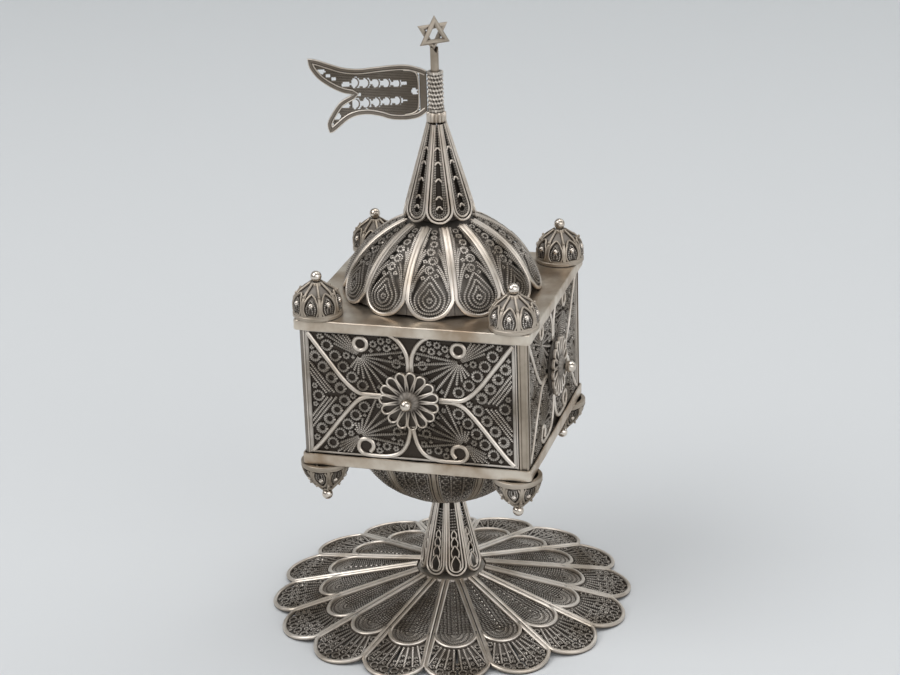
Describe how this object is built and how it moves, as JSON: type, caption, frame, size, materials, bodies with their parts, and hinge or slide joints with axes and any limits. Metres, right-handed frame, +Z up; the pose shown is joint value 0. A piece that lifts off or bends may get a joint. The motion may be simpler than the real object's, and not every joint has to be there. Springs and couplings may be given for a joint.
{
  "type": "havdalah spice box",
  "caption": "Silver filigree spice tower: a square pierced box with a hinged door, on a lobed foot, with corner crowns, dome, spire, turning pennant vane and six-pointed star.",
  "frame": {"origin": "centre of the foot, on the surface that it stands on", "axes": "+Z up through foot, box, dome and spire; the door is in the front wall at -Y, hinged at -X"},
  "size_m": [0.0916, 0.0916, 0.1523],
  "materials": {
    "filigree_silver": "antique silver wire work, dark in its recesses",
    "polished_silver": "rubbed bright silver",
    "polished_tray": "rubbed silver sheet with warm tarnish"
  },
  "bodies": {
    "box": {"bowl": "filigree_silver", "corner_post_back_left": "polished_silver", "corner_post_back_right": "polished_silver", "corner_post_front_right": "polished_silver", "dome": "filigree_silver", "door_hinge_pin": "polished_silver", "foot": "filigree_silver", "lower_ball_back_left": "polished_silver", "lower_ball_back_right": "polished_silver", "lower_ball_front_left": "polished_silver", "lower_ball_front_right": "polished_silver", "lower_crown_back_left": "filigree_silver", "lower_crown_back_right": "filigree_silver", "lower_crown_front_left": "filigree_silver", "lower_crown_front_right": "filigree_silver", "lower_tray": "polished_tray", "rosette_back": "filigree_silver", "rosette_ball_back": "polished_silver", "rosette_ball_left": "polished_silver", "rosette_ball_right": "polished_silver", "rosette_left": "filigree_silver", "rosette_right": "filigree_silver", "spire": "filigree_silver", "spire_collar": "polished_silver", "spire_rod": "polished_silver", "star_back": "polished_silver", "star_front": "polished_silver", "stem": "filigree_silver", "upper_ball_back_left": "polished_silver", "upper_ball_back_right": "polished_silver", "upper_ball_front_left": "polished_silver", "upper_ball_front_right": "polished_silver", "upper_crown_back_left": "filigree_silver", "upper_crown_back_right": "filigree_silver", "upper_crown_front_left": "filigree_silver", "upper_crown_front_right": "filigree_silver", "upper_tray": "polished_tray", "wall_back": "filigree_silver", "wall_left": "filigree_silver", "wall_right": "filigree_silver"},
    "door": {"door": "filigree_silver", "rosette_front": "filigree_silver", "rosette_ball_front": "polished_silver"},
    "vane": {"vane_sleeve": "polished_silver", "vane_flag": "filigree_silver"}
  },
  "joints": [
    {"name": "door_hinge", "type": "hinge", "parent": "box", "child": "door", "pos_m": [-0.0269, -0.0269, 0.0659], "axis": [0, 0, -1], "range_deg": [0, 110]},
    {"name": "vane_turn", "type": "hinge", "parent": "box", "child": "vane", "pos_m": [0, 0, 0.134], "axis": [0, 0, 1], "continuous": true}
  ]
}
